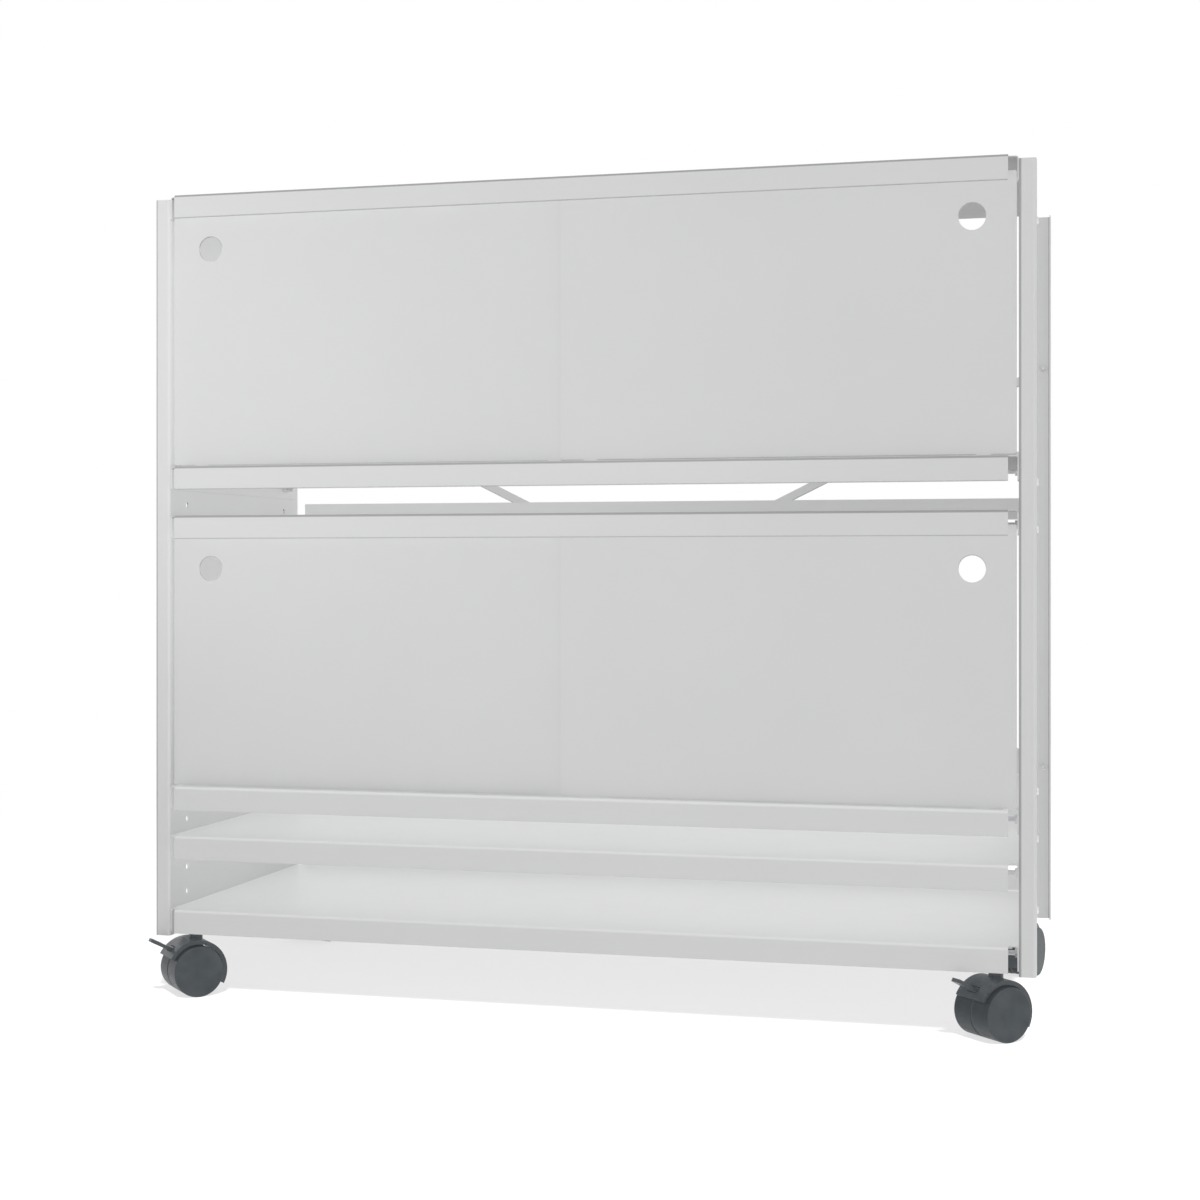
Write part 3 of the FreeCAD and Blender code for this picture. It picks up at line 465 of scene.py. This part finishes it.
# metres; places along the axle are measured from the middle of the caster
wheelShape = {
    "radius": 0.0306, "inner": 0.0013, "outer": 0.0297, "bore": 0.00405, "boreEnd": 0.0257,
    "innerEdge": 0.0004, "outerEdge": 0.0015,
    "columns": 112, "bendRows": 9, "treadRows": 14, "faceRows": 16,
    "treadShadeFrom": 0.03055,  # radius where the tread's painted shade starts
}


def wheelProfile(shape):
    # (along, radius) from the end of the bore, over the inner face, its small rounded edge, the tread
    # and the larger rounded edge, to the middle of the plain outer face
    bend = np.linspace(0, np.pi / 2, shape["bendRows"])
    small, large, big = shape["innerEdge"], shape["outerEdge"], shape["radius"]
    innerArc = np.stack([shape["inner"] + small * (1 - np.cos(bend)), big - small * (1 - np.sin(bend))], 1)
    along = np.linspace(shape["inner"] + small, shape["outer"] - large, shape["treadRows"])[1:-1]
    tread = np.stack([along, along * 0 + big], 1)
    outerArc = np.stack([shape["outer"] - large * (1 - np.sin(bend)), big - large * (1 - np.cos(bend))], 1)
    reach = np.linspace(big - large, 0, shape["faceRows"])[1:]
    face = np.stack([reach * 0 + shape["outer"], reach], 1)
    end, hole = shape["boreEnd"], shape["bore"]
    bore = np.array([[end, 0], [end, hole], [shape["inner"], hole]])
    return np.concatenate([bore, innerArc, tread, outerArc, face])


def markTread(mesh, centre, axis, start):
    # 1 on every point that is at least start away from the axle
    points = np.empty(len(mesh.vertices) * 3)
    mesh.vertices.foreach_get("co", points)
    arm = points.reshape(-1, 3) - np.array(centre)
    reach = np.linalg.norm(np.cross(arm, axis), axis=1)
    mesh.attributes.new("tread", "FLOAT", "POINT").data.foreach_set("value", (reach > start).astype(float))


profile = wheelProfile(wheelShape)
for joint in frame["joints"]:
    if not joint["name"].endswith("_roll"):
        continue
    wheel = joint["child"]
    axis = np.array(joint["axis"]) * (1 if wheel.endswith("near") else -1)
    turns = np.ones((1, wheelShape["columns"]))
    grid = aroundAxis(profile[:, :1] * turns, profile[:, 1:] * turns, joint["pos_m"], axis)
    plain = wheel.replace("_wheel_", "_caster_wheel_")
    mesh = putSurfaces("turned_" + wheel, [grid], wheel, "wheel", [plain])
    markTread(mesh, joint["pos_m"], axis, wheelShape["treadShadeFrom"])
print("wheels turned")

# metres, apart from shares and counts; key is half the key's width across its flats
boltShapes = {
    "shelf": {"head": 0.00525, "headHeight": 0.0046, "shank": 0.003, "key": 0.002, "keyDepth": 0.0026},
    "brace": {"head": 0.00425, "headHeight": 0.0028, "shank": 0.0025, "key": 0.0015, "keyDepth": 0.0015},
    "pitch": 0.001, "threadDepth": 0.00045, "plain": 0.003, "columns": 24, "rowsPerTurn": 5,
    "domeRows": 7, "domeStart": 0.08,      # share of a quarter turn where the dome starts beside the key
    "crown": 0.55, "shoulder": 0.25,       # shares of the head: radius of its crown, height below the dome
    "tipLength": 0.0004, "tipShare": 0.8,  # chamfer at the tip, and share of the shank's radius there
}
# metres; a bolt sits drop below its shelf's plate, and the shelf's upstand rises above the plate
shelfFixings = {
    "shelves": ("top_shelf", "upper_bay_floor", "lower_bay_roof",
                "lower_bay_floor", "tray_shelf", "base_shelf"),
    "columns": (-0.152, 0.148), "upstand": 0.026, "drop": 0.0155, "web": 0.511, "length": 0.016,
}
braceFixings = {"reach": 0.519, "heights": (0.267, 0.777), "rear": 0.2, "layer": 0.002, "grip": 0.0085}


def boltGrid(shape, length, centre, axis):
    # rings from the six-sided key's floor, up its walls, over the domed head, along the shank whose radius
    # falls and rises once per turn of the thread, to the middle of the tip
    turn = np.linspace(0, 2 * np.pi, boltShapes["columns"], endpoint=False)
    none = turn * 0
    six = shape["key"] / np.cos((turn + np.pi / 6) % (np.pi / 3) - np.pi / 6)
    high, head, shank = shape["headHeight"], shape["head"], shape["shank"]
    floor = shape["keyDepth"] - high
    crown, shoulder = boltShapes["crown"], boltShapes["shoulder"]
    rims = [(floor, none), (floor, six), (-high, six)]
    for lift in np.linspace(boltShapes["domeStart"], 1, boltShapes["domeRows"]) * np.pi / 2:
        fall = -high * ((1 - shoulder) * np.cos(lift) + shoulder)
        rims.append((fall, none + head * (crown + (1 - crown) * np.sin(lift))))
    rims += [(0.0, none + head), (0.0, none + shank), (boltShapes["plain"], none + shank)]
    step = boltShapes["pitch"] / boltShapes["rowsPerTurn"]
    along = np.arange(boltShapes["plain"], length - boltShapes["tipLength"], step)[1:]
    phase = (along[:, None] / boltShapes["pitch"] + turn / (2 * np.pi)) % 1
    fade = np.clip((along - boltShapes["plain"]) / boltShapes["pitch"], 0, 1)[:, None]
    thread = shank - boltShapes["threadDepth"] * fade * (1 - np.abs(2 * phase - 1))
    tip = [none + shank * boltShapes["tipShare"], none]
    rows = np.concatenate([np.array([radius for spot, radius in rims]), thread, tip])
    reach = np.concatenate([[spot for spot, radius in rims], along, [length, length]])
    return aroundAxis(reach[:, None] + rows * 0, rows, centre, axis)


for side, hand in ((-1, "left"), (1, "right")):
    grids = []
    for name in shelfFixings["shelves"]:
        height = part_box(name)[1].z - shelfFixings["upstand"] - shelfFixings["drop"]
        for depth in shelfFixings["columns"]:
            centre = (side * shelfFixings["web"], depth, height)
            grids.append(boltGrid(boltShapes["shelf"], shelfFixings["length"], centre, (-side, 0, 0)))
    putSurfaces(hand + "_threaded_bolts", grids, "carcass", "hardware", [hand + "_shelf_bolts"])
grids = []
for side in (-1, 1):
    for height in braceFixings["heights"]:
        # the falling bar lies outside, on spacers
        outer = (height == braceFixings["heights"][1]) == (side < 0)
        stack = braceFixings["layer"] * (2 if outer else 1)
        centre = (side * braceFixings["reach"], braceFixings["rear"] + stack, height)
        grids.append(boltGrid(boltShapes["brace"], stack + braceFixings["grip"], centre, (0, -1, 0)))
putSurfaces("threaded_brace_bolts", grids, "carcass", "hardware", ["brace_bolts"])
print("bolts threaded")

# metres from the pedal's pin; tilt and turn are the pedal's own at rest, in degrees
gripShape = {
    "places": (0.0175, 0.021, 0.0245, 0.028), "halfLength": 0.0060, "halfWidth": 0.0009, "height": 0.0005,
    "top": 0.002, "tilt": 27.4, "turn": 223.2, "rows": 17, "columns": 16,
}


def gripRidge(shape, place, pivot):
    # bar along the pedal's width whose oval section shrinks to nothing at both ends;
    # its lower half is in the pedal
    length = np.sin(np.linspace(-np.pi / 2, np.pi / 2, shape["rows"]))
    around = np.linspace(0, 2 * np.pi, shape["columns"], endpoint=False)
    size = np.sqrt(1 - length ** 4)[:, None]
    out = place + shape["halfWidth"] * size * np.cos(around)
    lift = shape["top"] + shape["height"] * size * np.sin(around)
    across = shape["halfLength"] * length[:, None] + 0 * out
    tilt, turn = math.radians(shape["tilt"]), math.radians(shape["turn"])
    ahead = out * math.cos(tilt) - lift * math.sin(tilt)
    rise = out * math.sin(tilt) + lift * math.cos(tilt)
    x = ahead * math.cos(turn) - across * math.sin(turn)
    y = ahead * math.sin(turn) + across * math.cos(turn)
    return np.stack([x, y, rise], -1) + np.array(pivot)


for joint in frame["joints"]:
    if joint["name"].endswith("_brake_press"):
        ridges = [gripRidge(gripShape, place, joint["pos_m"]) for place in gripShape["places"]]
        putSurfaces("grip_" + joint["child"], ridges, joint["child"], "caster_plastic")
print("pedals ridged")

bpy.context.view_layer.update()
